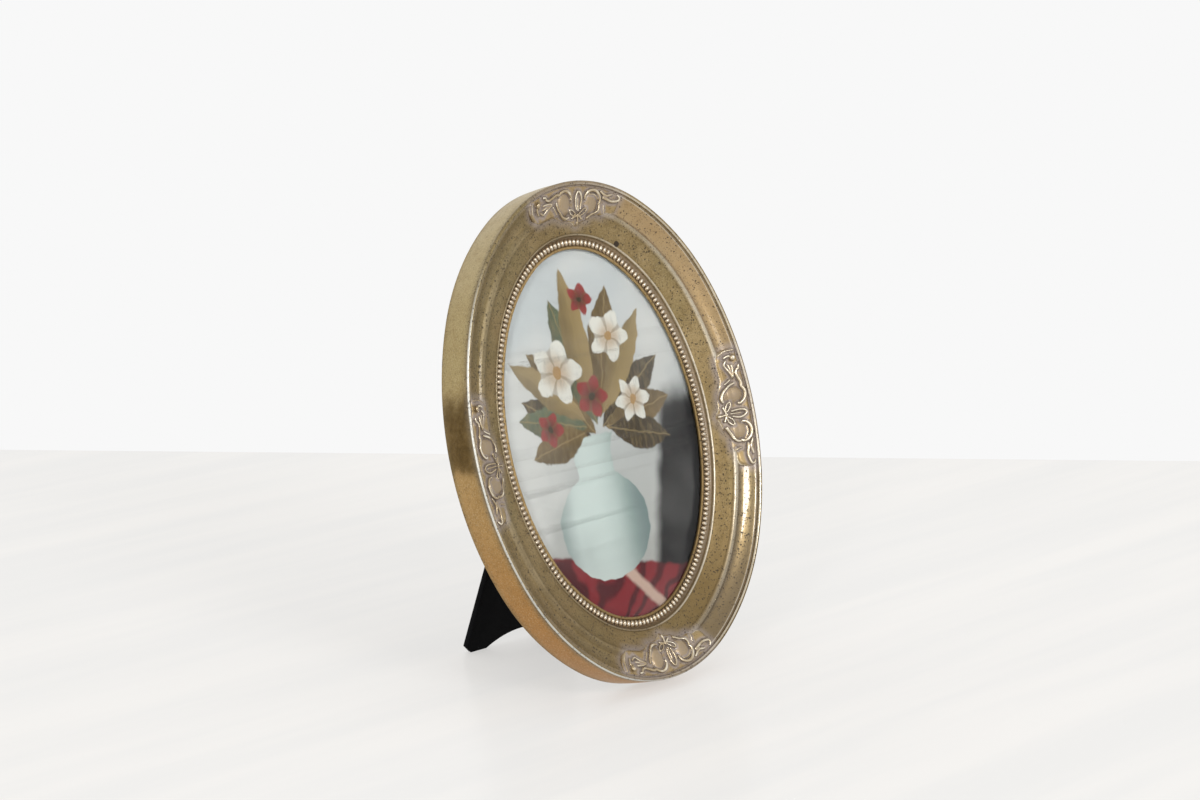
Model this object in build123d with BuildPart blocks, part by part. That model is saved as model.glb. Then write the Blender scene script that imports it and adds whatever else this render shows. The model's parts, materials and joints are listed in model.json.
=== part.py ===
from build123d import *
import os
from math import atan2, cos, degrees, radians, sin, tan

# Oval picture frame that leans back on a hinged easel leg. Millimetres, +Z up, the frame faces -Y.
# The flat frame has its own plane: x to the right, y up the frame, z out of its front, with z = 0 on
# its rear face. The leg has such a plane too, through its hinge pin.

# Outer oval, seen square on: end arcs, shoulder arcs and side arcs that meet without a corner
oval_width = 172.3
oval_height = 223.1
end_radius = 68.9
side_join_angle = 25.5
shoulder_join_angle = 55.8

# Stance
frame_lean = 17.4
leg_opening = 30.9

# Moulding: sizes across it run in from the outer edge, heights up from the rear face
moulding_width = 29.0
moulding_depth = 18.0
rim_width = 1.8
rim_bevel = 0.6
rim_rise = 0.7
rim_step_width = 0.7
cove_width = 8.0
cove_top_height = 16.4
cove_foot_height = 12.5
cove_sag = 0.9
ridge_width = 3.3
ridge_flank = 0.9
ridge_rise = 0.9
band_width = 8.8
band_foot_height = 9.5
fillet_width = 0.4
bead_bed_width = 4.8
bead_bed_height = 7.0
lip_bevel = 0.25
lip_height = 7.9
glass_seat_height = 6.6
rabbet_width = 6.85

# Bead row
bead_pitch = 2.3
bead_length = 2.6
bead_margin = 0.2
bead_wall = 0.45
bead_rise = 1.5

# Cast ornaments at the two ends and the two sides of the oval. Places along one are from its middle:
# a leaf with a scroll to either side of it, a bell flower and a bud at one end, a tail at the other.
ornament_length = 55.0
ornament_shift = 1.5
ornament_corner = 6.0
ornament_outer_height = 17.3
ornament_inner_height = 14.4
ornament_ridge_height = 14.0
ornament_inner_bevel = 0.8
relief_rise = 1.0
relief_root = 0.6
scroll_radius = 4.2
scroll_bar = 1.2
scroll_spacing = 8.6
bell_length = 7.0
bell_width = 6.6
bell_place = -14.5
leaf_length = 7.8
leaf_width = 4.2
leaf_place = 2.7
bud_radius = 1.6
bud_place = -22.9
tail_length = 9.3
tail_width = 3.4
tail_place = 17.6

# Glass, print and back board, held in the rabbet
pane_clearance = 0.5
glass_thickness = 2.0
print_thickness = 0.25
velour_thickness = 0.35

# Turn buttons and their screws
button_angle = 41.0
button_land = 3.0
button_reach = 9.5
button_tail = 3.4
button_width = 6.4
button_tip_width = 3.2
button_thickness = 0.9
button_gap = 0.25
screw_radius = 1.1
screw_head_radius = 2.3
screw_head_height = 1.0
screw_depth = 4.5

# Hinge of the leg
hinge_height = 155.5
hinge_width = 24.0
hinge_leaf_length = 17.0
hinge_leaf_thickness = 0.8
hinge_taper = 4.0
pin_radius = 0.8
knuckle_wall = 0.8
knuckle_clearance = 0.25
knuckle_gap = 0.3
stop_gap = 0.1
rivet_radius = 1.0
rivet_head_radius = 2.0
rivet_head_height = 0.8
rivet_head_chamfer = 0.4
rivet_spacing = 12.0

# Leg
leg_top_width = 32.0
leg_foot_width = 67.0
leg_board_thickness = 2.0
leg_top_gap = 3.2
leg_fold_gap = 0.3
foot_corner_width = 3.6
foot_corner_height = 3.4
arch_width = 43.0
arch_height = 6.3
velour_turn_up = 0.5

# Fits
fixing_sides = 8
running_clearance = 0.05
fixing_clearance = 0.02
cut_overrun = 1.0

# Arcs of the outer oval. The shoulder and side radii are those that close a quarter of it.
half_width, half_height = oval_width / 2, oval_height / 2
side_join, shoulder_join = radians(side_join_angle), radians(shoulder_join_angle)
side_span = 1 - cos(side_join)
shoulder_run, shoulder_climb = cos(side_join) - cos(shoulder_join), sin(shoulder_join) - sin(side_join)
run_left = half_width - end_radius * cos(shoulder_join)
climb_left = half_height - end_radius * (1 - sin(shoulder_join))
closing = shoulder_run * sin(side_join) - side_span * shoulder_climb
shoulder_radius = (run_left * sin(side_join) - side_span * climb_left) / closing
side_radius = (shoulder_run * climb_left - shoulder_climb * run_left) / closing
shoulder_x = (end_radius - shoulder_radius) * cos(shoulder_join)
shoulder_y = half_height - end_radius + (end_radius - shoulder_radius) * sin(shoulder_join)
side_x = half_width - side_radius
end_y = half_height - end_radius

# Each arc's centre, radius, start angle and sweep, in order round the oval
end_sweep = 180 - 2 * shoulder_join_angle
side_sweep = 2 * side_join_angle
shoulder_sweep = shoulder_join_angle - side_join_angle
right_arc = (side_x, 0, side_radius, -side_join_angle, side_sweep)
top_arc = (0, end_y, end_radius, shoulder_join_angle, end_sweep)
left_arc = (-side_x, 0, side_radius, 180 - side_join_angle, side_sweep)
bottom_arc = (0, -end_y, end_radius, 180 + shoulder_join_angle, end_sweep)
oval_arcs = [
    right_arc,
    (shoulder_x, shoulder_y, shoulder_radius, side_join_angle, shoulder_sweep),
    top_arc,
    (-shoulder_x, shoulder_y, shoulder_radius, 180 - shoulder_join_angle, shoulder_sweep),
    left_arc,
    (-shoulder_x, -shoulder_y, shoulder_radius, 180 + side_join_angle, shoulder_sweep),
    bottom_arc,
    (shoulder_x, -shoulder_y, shoulder_radius, 360 - shoulder_join_angle, shoulder_sweep),
]

# Insets and heights where one form of the section ends and the next begins
cove_start = rim_width + rim_step_width
cove_end = cove_start + cove_width
ridge_end = cove_end + ridge_width
band_end = ridge_end + band_width
bed_start = band_end + fillet_width
bed_end = bed_start + bead_bed_width
bead_inset = bed_end - bead_margin - bead_length / 2
rabbet_inset = moulding_width - rabbet_width
rim_shoulder_height = moulding_depth - rim_rise

# The hinge's axis behind the frame's rear face, and the leg's two faces before and behind that axis.
# Folded, the leg lies just behind the rear face.
bore_radius = pin_radius + running_clearance
knuckle_radius = bore_radius + knuckle_wall
axis_drop = knuckle_radius + knuckle_clearance
leg_front = axis_drop - leg_fold_gap
leg_rear = leg_front - leg_board_thickness - 2 * velour_thickness

# The frame's plane. The lowest point of its rear edge touches the ground, and the box round the
# whole part is centred over the origin, from the lower rim in front to the leg's heel behind.
lean, opening = radians(frame_lean), radians(leg_opening)
leg_lean = opening - lean
hinge_y = hinge_height * sin(lean) + axis_drop * cos(lean)
hinge_z = hinge_height * cos(lean) - axis_drop * sin(lean)
lower_rim_y = rim_bevel * sin(lean) - moulding_depth * cos(lean)
heel_y = hinge_y + (hinge_z - velour_turn_up) * tan(leg_lean) - leg_rear / cos(leg_lean)
rearmost_y = max(heel_y, oval_height * sin(lean))
frame_y = half_height * sin(lean) - (lower_rim_y + rearmost_y) / 2
front_direction = Vector(0, -cos(lean), sin(lean))
oval_plane = Plane((0, frame_y, half_height * cos(lean)), x_dir=(1, 0, 0), z_dir=front_direction)
rear_plane = Plane(oval_plane.origin, x_dir=(-1, 0, 0), z_dir=-front_direction)


def sagging_flats(start, end, sag, flats):
    """Points along a hollow curve from start to end, cut in flats, deepest by sag in its middle."""
    points = []
    for number in range(flats + 1):
        share = number / flats
        depth = 4 * share * (1 - share) * sag
        points.append((start[0] + (end[0] - start[0]) * share, start[1] + (end[1] - start[1]) * share - depth))
    return points


# The seat that the ornaments lie on: the cove and the ridge, from the rim inward
cove_points = sagging_flats((cove_start, cove_top_height), (cove_end, cove_foot_height), cove_sag, 3)
ridge_points = [
    (cove_end + ridge_flank, cove_foot_height + ridge_rise),
    (ridge_end - ridge_flank, cove_foot_height + ridge_rise),
    (ridge_end, cove_foot_height),
]
ornament_seat = cove_points + ridge_points
front_points = [
    (0, rim_shoulder_height),
    (rim_bevel, moulding_depth),
    (rim_width, moulding_depth),
    *ornament_seat,
    (band_end, band_foot_height),
    (bed_start, bead_bed_height),
    (bed_end, bead_bed_height),
    (bed_end + lip_bevel, lip_height),
    (moulding_width, lip_height),
]
rear_points = [(moulding_width, glass_seat_height), (rabbet_inset, glass_seat_height), (rabbet_inset, 0), (0, 0)]


def arc_centre(arc):
    """The centre of an arc of the oval, on the frame's rear face."""
    return oval_plane.from_local_coords((arc[0], arc[1], 0))


def radial_plane(arc, angle):
    """The plane across the moulding at an angle of an arc: x outward, y to the front."""
    outward = oval_plane.x_dir * cos(radians(angle)) + oval_plane.y_dir * sin(radians(angle))
    return Plane(arc_centre(arc), x_dir=outward, z_dir=outward.cross(oval_plane.z_dir))


def section_outline(points, radius):
    """The closed outline of a section, from its insets and heights, for an arc of the given radius."""
    Polyline(*[(radius - inset, height) for inset, height in points], close=True)


def oval_outline(inset):
    """The closed oval at an inset from the outer edge."""
    for x, y, radius, start, sweep in oval_arcs:
        CenterArc((x, y), radius - inset, start, sweep)


# Turn buttons stand on the shoulder arcs, beside the rabbet. Seen from behind, x runs the other way.
button_reach_radius = shoulder_radius - rabbet_inset + button_land
button_x = shoulder_x + button_reach_radius * cos(radians(button_angle))
button_y = shoulder_y + button_reach_radius * sin(radians(button_angle))
button_corners = {
    "upper_right": (1, 1),
    "upper_left": (-1, 1),
    "lower_left": (-1, -1),
    "lower_right": (1, -1),
}
screw_places = [(side * button_x, level * button_y) for side, level in button_corners.values()]

# Moulding: one section turned about the centre of each arc, with the screw holes behind
with BuildPart() as moulding:
    for arc in oval_arcs:
        with BuildSketch(radial_plane(arc, arc[3])):
            with BuildLine():
                section_outline(front_points + rear_points, arc[2])
            make_face()
        revolve(axis=Axis(arc_centre(arc), oval_plane.z_dir), revolution_arc=arc[4])
    with BuildSketch(rear_plane):
        with Locations(*screw_places):
            RegularPolygon(screw_radius + fixing_clearance, fixing_sides)
    extrude(amount=-screw_depth, mode=Mode.SUBTRACT)


# Bead row: four-sided studs side by side in the bed, a whole number of them to each arc
def bead_outline(radius, half_step):
    """A bead across the given radius, with its two flat sides on the planes between the beads."""
    outer, inner = radius + bead_length / 2, radius - bead_length / 2
    right, up = cos(half_step), sin(half_step)
    Polyline(
        (outer * right, outer * up),
        (inner * right, inner * up),
        (inner * right, -inner * up),
        (outer * right, -outer * up),
        close=True,
    )


beads = []
for arc in oval_arcs:
    radius = arc[2] - bead_inset
    count = round(radians(arc[4]) * radius / bead_pitch)
    step = arc[4] / count
    for number in range(count):
        across = radial_plane(arc, arc[3] + step * (number + 0.5))
        base = Plane(across.origin, x_dir=across.x_dir, z_dir=across.y_dir).offset(bead_bed_height)
        peak = base.from_local_coords((radius, 0, bead_rise))
        with BuildPart() as bead:
            with BuildSketch(base):
                with BuildLine():
                    bead_outline(radius, radians(step / 2))
                make_face()
            extrude(amount=bead_wall)
            loft([bead.faces().sort_by(Axis(base.origin, base.z_dir))[-1], Vertex(*peak)])
        beads.append(bead.part)

with BuildPart() as bead_row:
    add(beads)

# Ornaments: a raised pad that seats in the cove and over the ridge, with relief on its slope
pad_slope = atan2(ornament_outer_height - ornament_inner_height, cove_width)
pad_middle = (cove_start + cove_end) / 2
pad_points = ornament_seat + [
    (ridge_end - ornament_inner_bevel, ornament_ridge_height),
    (cove_end, ornament_inner_height),
    (cove_start, ornament_outer_height),
]


def relief_plane(arc, middle, along):
    """The plane on a pad's slope at a distance along it from its middle: x along it, y outward."""
    turn = degrees(along / (arc[2] - pad_middle))
    across = radial_plane(arc, middle - turn)
    height = (ornament_outer_height + ornament_inner_height) / 2
    origin = across.from_local_coords((arc[2] - pad_middle, height, 0))
    slope_normal = across.y_dir * cos(pad_slope) - across.x_dir * sin(pad_slope)
    return Plane(origin, x_dir=across.z_dir, z_dir=slope_normal).offset(-relief_root)


def pad_outline(radius, half_turn):
    """The pad seen square on: its ends are radial, with the corners at the ridge cut back."""
    outer, inner = radius, radius - ridge_end - cut_overrun
    corner_turn = half_turn - ornament_corner / radius
    corner = radius - cove_end
    Polyline(
        (outer, -outer * tan(half_turn)),
        (outer, outer * tan(half_turn)),
        (corner * cos(half_turn), corner * sin(half_turn)),
        (inner * cos(corner_turn), inner * sin(corner_turn)),
        (inner * cos(corner_turn), -inner * sin(corner_turn)),
        (corner * cos(half_turn), -corner * sin(half_turn)),
        close=True,
    )


def scroll_outline(side):
    """A C scroll as an open ring of flats, with its mouth towards the leaf and the glass."""
    RegularPolygon(scroll_radius, 6)
    RegularPolygon(scroll_radius - scroll_bar, 6, mode=Mode.SUBTRACT)
    with Locations((-side * scroll_radius / 2, -scroll_radius / 2)):
        Rectangle(scroll_radius, scroll_radius, mode=Mode.SUBTRACT)


def kite_outline(length, width, widest):
    """A kite along the pad from a knot to its point, widest at a share of its length."""
    Polyline((0, 0), (length * widest, width / 2), (length, 0), (length * widest, -width / 2), close=True)


def ornament(arc, arc_middle, hand):
    """One cast ornament on an arc of the oval. It lies a little past the arc's middle, and hand is 1
    where its tail is on the clockwise side."""
    half_turn = ornament_length / 2 / (arc[2] - pad_middle)
    middle = arc_middle - hand * degrees(ornament_shift / (arc[2] - pad_middle))
    start = radial_plane(arc, middle - degrees(half_turn))
    flat = Plane(arc_centre(arc), x_dir=radial_plane(arc, middle).x_dir, z_dir=oval_plane.z_dir)
    with BuildPart() as casting:
        with BuildSketch(start):
            with BuildLine():
                section_outline(pad_points, arc[2])
            make_face()
        revolve(axis=Axis(arc_centre(arc), oval_plane.z_dir), revolution_arc=degrees(2 * half_turn))
        with BuildSketch(flat):
            with BuildLine():
                pad_outline(arc[2], half_turn)
            make_face()
        extrude(amount=moulding_depth + relief_rise, mode=Mode.INTERSECT)
        with BuildSketch(relief_plane(arc, middle, hand * leaf_place)):
            with BuildLine():
                Polyline(
                    (0, -leaf_length / 2),
                    (leaf_width / 2, 0),
                    (0, leaf_length / 2),
                    (-leaf_width / 2, 0),
                    close=True,
                )
            make_face()
        extrude(amount=relief_root + relief_rise)
        for side in (-hand, hand):
            with BuildSketch(relief_plane(arc, middle, hand * leaf_place + side * scroll_spacing)):
                scroll_outline(side)
            extrude(amount=relief_root + relief_rise)
        with BuildSketch(relief_plane(arc, middle, hand * bell_place)):
            with BuildLine():
                kite_outline(-hand * bell_length, bell_width, 3 / 4)
            make_face()
        extrude(amount=relief_root + relief_rise)
        with BuildSketch(relief_plane(arc, middle, hand * bud_place)):
            RegularPolygon(bud_radius, 6)
        extrude(amount=relief_root + relief_rise)
        with BuildSketch(relief_plane(arc, middle, hand * tail_place)):
            with BuildLine():
                kite_outline(hand * tail_length, tail_width, 1 / 3)
            make_face()
        extrude(amount=relief_root + relief_rise)
    return casting.part


with BuildPart() as end_ornaments:
    add([ornament(top_arc, 90, 1), ornament(bottom_arc, 270, -1)])

with BuildPart() as side_ornaments:
    add([ornament(right_arc, 0, 1), ornament(left_arc, 180, -1)])

# The stack in the rabbet, from the glass on its seat back to the velour flush with the rear face
pane_inset = rabbet_inset + pane_clearance
glass_rear = glass_seat_height - glass_thickness
print_rear = glass_rear - print_thickness
rivet_place = (0, hinge_height - half_height + hinge_leaf_length * 2 / 3)


def oval_sheet(rear, thickness):
    """A sheet of the rabbet's outline, from its rear height forward."""
    with BuildPart() as sheet:
        with BuildSketch(oval_plane.offset(rear)):
            with BuildLine():
                oval_outline(pane_inset)
            make_face()
        extrude(amount=thickness)
    return sheet.part


def riveted_sheet(rear, thickness):
    """An oval sheet with the holes for the hinge's rivets."""
    with BuildPart() as sheet:
        add(oval_sheet(rear, thickness))
        with BuildSketch(oval_plane):
            with Locations(rivet_place):
                with GridLocations(rivet_spacing, 0, 2, 1):
                    RegularPolygon(rivet_radius + fixing_clearance, fixing_sides)
        extrude(amount=glass_seat_height, mode=Mode.SUBTRACT)
    return sheet.part


glass_pane = oval_sheet(glass_rear, glass_thickness)
print_insert = oval_sheet(print_rear, print_thickness)
back_board = riveted_sheet(velour_thickness, print_rear - velour_thickness)
back_velour = riveted_sheet(0, velour_thickness)


# Turn buttons: each points in over the back board and turns on its screw
def button_plane(side, level):
    """The rear face at a button's screw: x towards the oval's shoulder centre, z out of the back."""
    origin = oval_plane.from_local_coords((side * button_x, level * button_y, 0))
    inward = oval_plane.x_dir * -side * cos(radians(button_angle))
    inward += oval_plane.y_dir * -level * sin(radians(button_angle))
    return Plane(origin, x_dir=inward, z_dir=-oval_plane.z_dir)


def turn_button(side, level):
    """A flat button with a blunt tail and a narrow tip, pierced for its screw."""
    half, tip = button_width / 2, button_tip_width / 2
    with BuildPart() as button:
        with BuildSketch(button_plane(side, level).offset(button_gap)):
            with BuildLine():
                Polyline(
                    (-button_tail, -tip),
                    (-button_tail / 2, -half),
                    (button_reach / 3, -half),
                    (button_reach, -tip),
                    (button_reach, tip),
                    (button_reach / 3, half),
                    (-button_tail / 2, half),
                    (-button_tail, tip),
                    close=True,
                )
            make_face()
            Circle(screw_radius + running_clearance, mode=Mode.SUBTRACT)
        extrude(amount=button_thickness)
    return button.part


turn_buttons = {name: turn_button(*corner) for name, corner in button_corners.items()}

# Screws: the shank fills the hole in the moulding and carries the button, and the head stands just
# clear of it
screw_head_base = button_gap + button_thickness + running_clearance
with BuildPart() as turn_button_screws:
    with BuildSketch(rear_plane.offset(screw_head_base)):
        with Locations(*screw_places):
            RegularPolygon(screw_radius, fixing_sides)
    extrude(amount=-screw_head_base - screw_depth)
    with BuildSketch(rear_plane.offset(screw_head_base)):
        with Locations(*screw_places):
            RegularPolygon(screw_head_radius, fixing_sides)
    extrude(amount=screw_head_height)

# Hinge: both planes pass through the pin, one along the frame, one along the leg as it stands open
hinge_origin = oval_plane.from_local_coords((0, hinge_height - half_height, -axis_drop))
board_plane = Plane(hinge_origin, x_dir=(1, 0, 0), z_dir=front_direction)
leg_plane = Plane(hinge_origin, x_dir=(1, 0, 0), z_dir=(0, -cos(leg_lean), -sin(leg_lean)))
middle_knuckle = hinge_width / 3
side_knuckle = middle_knuckle - knuckle_gap
leaf_hole_y = hinge_leaf_length * 2 / 3
leaf_notch = knuckle_radius + knuckle_gap


def across_hinge(left):
    """The plane square to the pin at a distance to the right of the middle, facing right."""
    return Plane(hinge_origin + Vector(left, 0, 0), x_dir=oval_plane.y_dir, z_dir=(1, 0, 0))


def leaf_outline(reach):
    """A hinge leaf from the pin to its reach up or down the plane, narrower at its far end."""
    half, far = hinge_width / 2, hinge_width / 2 - hinge_taper
    Polyline((-half, 0), (half, 0), (half, reach / 2), (far, reach), (-far, reach), (-half, reach / 2), close=True)


with BuildPart() as hinge_board_leaf:
    with BuildSketch(board_plane.offset(axis_drop)):
        with BuildLine():
            leaf_outline(hinge_leaf_length)
        make_face()
        Rectangle(middle_knuckle + 2 * knuckle_gap, 2 * leaf_notch, mode=Mode.SUBTRACT)
        with Locations((0, leaf_hole_y)):
            with GridLocations(rivet_spacing, 0, 2, 1):
                RegularPolygon(rivet_radius + fixing_clearance, fixing_sides, mode=Mode.SUBTRACT)
    extrude(amount=-hinge_leaf_thickness)
    for left in (-hinge_width / 2, hinge_width / 2 - side_knuckle):
        with BuildSketch(across_hinge(left)):
            Circle(knuckle_radius)
        extrude(amount=side_knuckle)
    with BuildSketch(across_hinge(-hinge_width / 2)):
        Circle(bore_radius)
    extrude(amount=hinge_width, mode=Mode.SUBTRACT)

# The leg's leaf goes on past the pin as a stop, which meets the board's leaf when the leg is open
leaf_stand = axis_drop - hinge_leaf_thickness
stop_length = (leaf_stand - stop_gap - leg_rear * cos(opening)) / sin(opening)
with BuildPart() as hinge_leg_leaf:
    with BuildSketch(leg_plane.offset(leg_rear)):
        with BuildLine():
            leaf_outline(-hinge_leaf_length)
        make_face()
        for side in (-1, 1):
            with Locations((side * hinge_width / 2, 0)):
                Rectangle(hinge_width - middle_knuckle, 2 * leaf_notch, mode=Mode.SUBTRACT)
        with Locations((0, stop_length / 2)):
            Rectangle(middle_knuckle, stop_length)
        with Locations((0, -leaf_hole_y)):
            with GridLocations(rivet_spacing, 0, 2, 1):
                RegularPolygon(rivet_radius + fixing_clearance, fixing_sides, mode=Mode.SUBTRACT)
    extrude(amount=-hinge_leaf_thickness)
    with BuildSketch(across_hinge(-middle_knuckle / 2)):
        Circle(knuckle_radius)
    extrude(amount=middle_knuckle)
    with BuildSketch(across_hinge(-hinge_width / 2)):
        Circle(bore_radius)
    extrude(amount=hinge_width, mode=Mode.SUBTRACT)

with BuildPart() as hinge_pin:
    with BuildSketch(across_hinge(-hinge_width / 2)):
        Circle(pin_radius)
    extrude(amount=hinge_width)


def rivets(leaf_rear, place_y, shank_end):
    """Two rivets with their heads on a leaf's rear face and their shanks through to shank_end."""
    with BuildPart() as pair:
        with BuildSketch(leaf_rear):
            with Locations((0, place_y)):
                with GridLocations(rivet_spacing, 0, 2, 1):
                    RegularPolygon(rivet_radius, fixing_sides)
        extrude(amount=shank_end)
        with BuildSketch(leaf_rear):
            with Locations((0, place_y)):
                with GridLocations(rivet_spacing, 0, 2, 1):
                    RegularPolygon(rivet_head_radius, fixing_sides)
        extrude(amount=-rivet_head_height)
        chamfer(pair.faces().sort_by(Axis(leaf_rear.origin, leaf_rear.z_dir))[:2].edges(), rivet_head_chamfer)
    return pair.part


board_rivets = rivets(board_plane.offset(leaf_stand), leaf_hole_y, hinge_leaf_thickness + print_rear)
leg_rivet_shank = hinge_leaf_thickness + velour_thickness + leg_board_thickness
leg_rivets = rivets(leg_plane.offset(leg_rear - hinge_leaf_thickness), -leaf_hole_y, leg_rivet_shank)

# Leg: a board that widens to two feet with an arch between them, and velour on both faces
ground_y = -hinge_origin.Z / cos(leg_lean)


def leg_outline():
    """The leg seen square on, its feet drawn past the ground that they are cut to."""
    top, foot, arch = leg_top_width / 2, leg_foot_width / 2, arch_width / 2
    heel = foot - foot_corner_width
    below = ground_y - cut_overrun
    right = [(top, -leg_top_gap), (foot, ground_y + foot_corner_height), (heel, ground_y), (heel, below)]
    Polyline(*right, (arch, below), (arch, ground_y))
    ThreePointArc((arch, ground_y), (0, ground_y + arch_height), (-arch, ground_y))
    left = [(-x, y) for x, y in reversed(right)]
    Polyline((-arch, ground_y), (-arch, below), *left, right[0])


def leg_sheet(rear, thickness, ground, pierced):
    """A layer of the leg from its rear height forward, cut level at a height above the ground."""
    with BuildPart() as layer:
        with BuildSketch(leg_plane.offset(rear)):
            with BuildLine():
                leg_outline()
            make_face()
            if pierced:
                with Locations((0, -leaf_hole_y)):
                    with GridLocations(rivet_spacing, 0, 2, 1):
                        RegularPolygon(rivet_radius + fixing_clearance, fixing_sides, mode=Mode.SUBTRACT)
        extrude(amount=thickness)
        split(bisect_by=Plane.XY.offset(ground), keep=Keep.TOP)
    return layer.part


leg_board_rear = leg_rear + velour_thickness
leg_board = leg_sheet(leg_board_rear, leg_board_thickness, 0, True)
leg_velour_rear = leg_sheet(leg_rear, velour_thickness, velour_turn_up, True)
leg_velour_front = leg_sheet(leg_front - velour_thickness, velour_thickness, velour_turn_up, False)

parts = {
    "moulding": moulding.part,
    "bead_row": bead_row.part,
    "end_ornaments": end_ornaments.part,
    "side_ornaments": side_ornaments.part,
    "glass_pane": glass_pane,
    "print_insert": print_insert,
    "back_board": back_board,
    "back_velour": back_velour,
    "turn_button_screws": turn_button_screws.part,
    "hinge_board_leaf": hinge_board_leaf.part,
    "hinge_leg_leaf": hinge_leg_leaf.part,
    "hinge_pin": hinge_pin.part,
    "board_rivets": board_rivets,
    "leg_rivets": leg_rivets,
    "leg_board": leg_board,
    "leg_velour_rear": leg_velour_rear,
    "leg_velour_front": leg_velour_front,
}
parts |= {f"turn_button_{name}": button for name, button in turn_buttons.items()}

os.makedirs("parts", exist_ok=True)
for name, piece in parts.items():
    piece.label = name
    export_step(piece, f"parts/{name}.step")

print("hinge pin", hinge_origin, "axis drop", axis_drop, "stop length", stop_length)
print("shoulder radius", shoulder_radius, "side radius", side_radius, "frame y", frame_y)
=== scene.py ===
import json
import bpy
import numpy as np
from math import atan2, ceil, cos, pi, radians, sin
from mathutils import Matrix, Vector

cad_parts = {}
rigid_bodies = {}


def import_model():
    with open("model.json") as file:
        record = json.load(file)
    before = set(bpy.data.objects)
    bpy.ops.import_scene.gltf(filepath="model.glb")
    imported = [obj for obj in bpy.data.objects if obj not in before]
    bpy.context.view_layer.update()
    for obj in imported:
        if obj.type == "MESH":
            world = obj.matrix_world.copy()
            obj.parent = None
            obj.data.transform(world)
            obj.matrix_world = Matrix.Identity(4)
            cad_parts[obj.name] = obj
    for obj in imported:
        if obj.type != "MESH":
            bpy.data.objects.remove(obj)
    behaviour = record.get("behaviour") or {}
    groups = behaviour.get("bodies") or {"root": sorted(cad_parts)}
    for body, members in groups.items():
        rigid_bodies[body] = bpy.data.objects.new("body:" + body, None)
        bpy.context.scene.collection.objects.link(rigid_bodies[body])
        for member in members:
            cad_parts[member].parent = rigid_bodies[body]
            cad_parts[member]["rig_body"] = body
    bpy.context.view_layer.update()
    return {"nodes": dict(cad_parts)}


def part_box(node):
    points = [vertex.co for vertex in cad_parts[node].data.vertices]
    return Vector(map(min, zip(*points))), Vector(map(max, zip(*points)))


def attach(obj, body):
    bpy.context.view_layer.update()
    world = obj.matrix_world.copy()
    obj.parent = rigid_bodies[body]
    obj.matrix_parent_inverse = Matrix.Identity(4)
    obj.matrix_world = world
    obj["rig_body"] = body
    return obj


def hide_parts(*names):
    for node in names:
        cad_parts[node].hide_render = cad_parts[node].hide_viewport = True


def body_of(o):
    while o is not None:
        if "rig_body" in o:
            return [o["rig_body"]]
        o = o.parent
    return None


# Oval picture frame on its easel leg. Lengths in the dictionaries are millimetres.
mm = 0.001
farAway = 1e9
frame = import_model()
scene = bpy.context.scene
print("frame loaded,", len(frame["nodes"]), "nodes")

# The oval: end, shoulder and side arcs that meet without a corner, at two angles in degrees
oval = {
    "halfWidth": 86.15,
    "halfHeight": 111.55,
    "endRadius": 68.9,
    "shoulderRadius": 99.204,
    "sideRadius": 140.053,
    "sideJoin": 25.5,
    "shoulderJoin": 55.8,
}

# How it stands: the frame's lean and the leg's opening in degrees, the glass's middle over the rear face
stand = {
    "lean": 17.4,
    "legOpening": 30.9,
    "glassMiddle": 5.6,
}


def ovalArcs():
    # centre x, centre y, radius, start angle and sweep of each arc, anticlockwise from the right side
    side, shoulder = oval["sideJoin"], oval["shoulderJoin"]
    sideX = oval["halfWidth"] - oval["sideRadius"]
    endY = oval["halfHeight"] - oval["endRadius"]
    drop = oval["endRadius"] - oval["shoulderRadius"]
    shoulderX = drop * cos(radians(shoulder))
    shoulderY = endY + drop * sin(radians(shoulder))
    turn = shoulder - side
    half = [
        (sideX, 0, oval["sideRadius"], -side, 2 * side),
        (shoulderX, shoulderY, oval["shoulderRadius"], side, turn),
        (0, endY, oval["endRadius"], shoulder, 180 - 2 * shoulder),
        (-shoulderX, shoulderY, oval["shoulderRadius"], 180 - shoulder, turn),
    ]
    return half + [(-x, -y, radius, begin + 180, sweep) for x, y, radius, begin, sweep in half]


arcs = ovalArcs()
rightArc, topArc, leftArc, bottomArc = arcs[::2]

# Pieces of the frame are modelled flat, x to the right, y up the frame, z out of its front, in
# millimetres from the middle of its rear face. standUp puts them where the CAD has the frame.
leanAngle = radians(stand["lean"])
frontAxis = Vector((0, -cos(leanAngle), sin(leanAngle)))
paneLow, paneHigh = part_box("glass_pane")
ovalOrigin = (paneLow + paneHigh) / 2 - frontAxis * stand["glassMiddle"] * mm
standUp = Matrix.Translation(ovalOrigin) @ Matrix.Rotation(pi / 2 - leanAngle, 4, "X") @ Matrix.Scale(mm, 4)

# The leg's own plane goes through the hinge pin: x to the right, y up the leg, z to its front
pinLow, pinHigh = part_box("hinge_pin")
pinMiddle = (pinLow + pinHigh) / 2
legAngle = radians(stand["legOpening"] - stand["lean"])
legStand = Matrix.Translation(pinMiddle) @ Matrix.Rotation(pi / 2 + legAngle, 4, "X") @ Matrix.Scale(mm, 4)


# Helpers for modelling
def objectMode():
    if bpy.context.mode != "OBJECT":
        bpy.ops.object.mode_set(mode="OBJECT")


def clearSelection():
    objectMode()
    bpy.ops.object.select_all(action="DESELECT")


def pick(obj, *others):
    clearSelection()
    for each in (obj, *others):
        each.select_set(True)
    bpy.context.view_layer.objects.active = obj


def added(operator, name, **settings):
    clearSelection()
    operator(**settings)
    obj = bpy.context.active_object
    obj.name = name
    return obj


def editAll(obj):
    pick(obj)
    bpy.ops.object.mode_set(mode="EDIT")
    bpy.ops.mesh.select_all(action="SELECT")


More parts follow.
